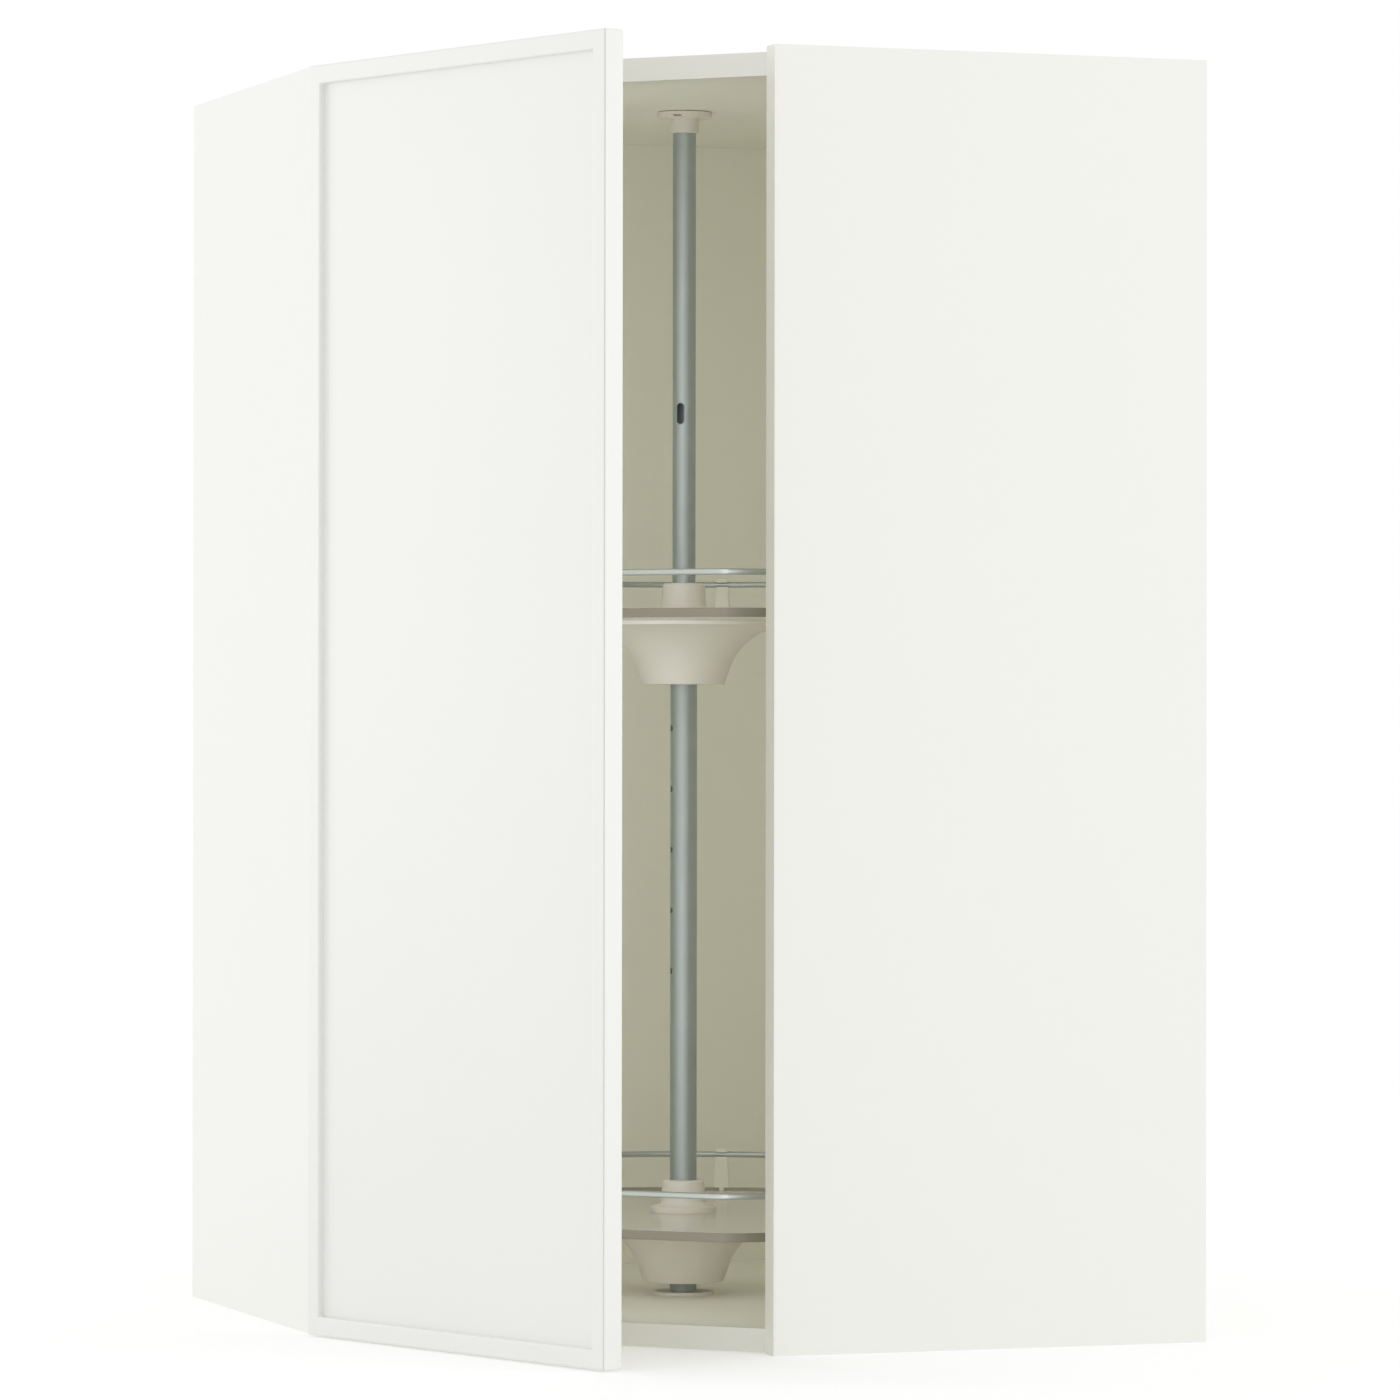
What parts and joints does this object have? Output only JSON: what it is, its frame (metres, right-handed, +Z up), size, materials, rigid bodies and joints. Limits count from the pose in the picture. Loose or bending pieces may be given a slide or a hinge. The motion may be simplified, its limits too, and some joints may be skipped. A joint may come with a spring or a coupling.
{
  "type": "corner carousel cabinet",
  "caption": "Diagonal corner wall cabinet with a hinged door and rotating round trays with rails on a central pole.",
  "frame": {"origin": "carousel axis at the underside of the bottom panel", "axes": "+Z up along the pole; the walls stand at -X and +Y; the diagonal front and its door face +X,-Y"},
  "size_m": [0.7325, 0.6605, 1.016],
  "materials": {
    "white_board": "white melamine, satin",
    "beige_board": "almond-beige melamine, satin",
    "beige_sheet": "almond-beige melamine sheet, satin",
    "door_lacquer": "smooth white lacquer, satin",
    "pine": "bare softwood",
    "zinc": "bright zinc plate",
    "hinge_nickel": "nickel plate, satin",
    "tube_steel": "grey satin-plated tube",
    "rail_chrome": "bright chrome wire",
    "cream_plastic": "moulded cream plastic, fine matte",
    "clear_plastic": "clear moulded plastic, gloss",
    "grey_plastic": "moulded dark grey plastic",
    "white_nylon": "natural nylon"
  },
  "bodies": {
    "carcass": {"bottom_panel": "beige_board", "top_panel": "beige_board", "left_side_panel": "white_board", "right_side_panel": "white_board", "left_back_panel": "beige_sheet", "right_back_panel": "beige_sheet", "corner_batten": "pine", "back_panel_screws": "zinc", "cam_bolts": "zinc", "cam_locks": "zinc", "dowels": "pine", "left_hanging_bracket": "zinc", "right_hanging_bracket": "zinc", "bracket_screws": "zinc", "pole_foot": "cream_plastic", "pole_lower_tube": "tube_steel", "pole_upper_tube": "tube_steel", "pole_top_cup": "cream_plastic", "lower_support_ring": "grey_plastic", "lower_support_pin": "zinc", "lower_thrust_washer": "white_nylon", "upper_support_ring": "grey_plastic", "upper_support_pin": "zinc", "upper_thrust_washer": "white_nylon", "bottom_hinge_plate": "hinge_nickel", "bottom_hinge_arm": "hinge_nickel", "middle_hinge_plate": "hinge_nickel", "middle_hinge_arm": "hinge_nickel", "top_hinge_plate": "hinge_nickel", "top_hinge_arm": "hinge_nickel", "hinge_plate_screws": "zinc", "hinge_arm_screws": "zinc", "hinge_arm_pins": "hinge_nickel"},
    "hinge_links": {"bottom_hinge_link": "hinge_nickel", "middle_hinge_link": "hinge_nickel", "top_hinge_link": "hinge_nickel"},
    "door": {"door_panel": "door_lacquer", "bottom_hinge_cup": "hinge_nickel", "middle_hinge_cup": "hinge_nickel", "top_hinge_cup": "hinge_nickel", "hinge_cup_pins": "hinge_nickel", "hinge_cup_screws": "zinc"},
    "lower_shelf": {"lower_hub": "cream_plastic", "lower_tray": "clear_plastic", "lower_collar": "cream_plastic", "lower_rail": "rail_chrome", "lower_rail_posts": "cream_plastic", "lower_hub_screws": "zinc"},
    "upper_shelf": {"upper_hub": "cream_plastic", "upper_tray": "clear_plastic", "upper_collar": "cream_plastic", "upper_rail": "rail_chrome", "upper_rail_posts": "cream_plastic", "upper_hub_screws": "zinc"}
  },
  "joints": [
    {"name": "hinge_link_swing", "type": "hinge", "parent": "carcass", "child": "hinge_links", "pos_m": [0.0023, -0.3052, 0.5067], "axis": [0, 0, -1], "range_deg": [-10, 24]},
    {"name": "door_swing", "type": "hinge", "parent": "hinge_links", "child": "door", "pos_m": [0.0696, -0.32061, 0.5067], "axis": [0, 0, -1], "range_deg": [-15, 36]},
    {"name": "lower_shelf_spin", "type": "hinge", "parent": "carcass", "child": "lower_shelf", "pos_m": [0, 0, 0.0809], "axis": [0, 0, 1], "continuous": true},
    {"name": "upper_shelf_spin", "type": "hinge", "parent": "carcass", "child": "upper_shelf", "pos_m": [0, 0, 0.5719], "axis": [0, 0, 1], "continuous": true}
  ],
  "couplings": [
    {"joint": "hinge_link_swing", "follows": "door_swing", "ratio": 0.66667}
  ]
}
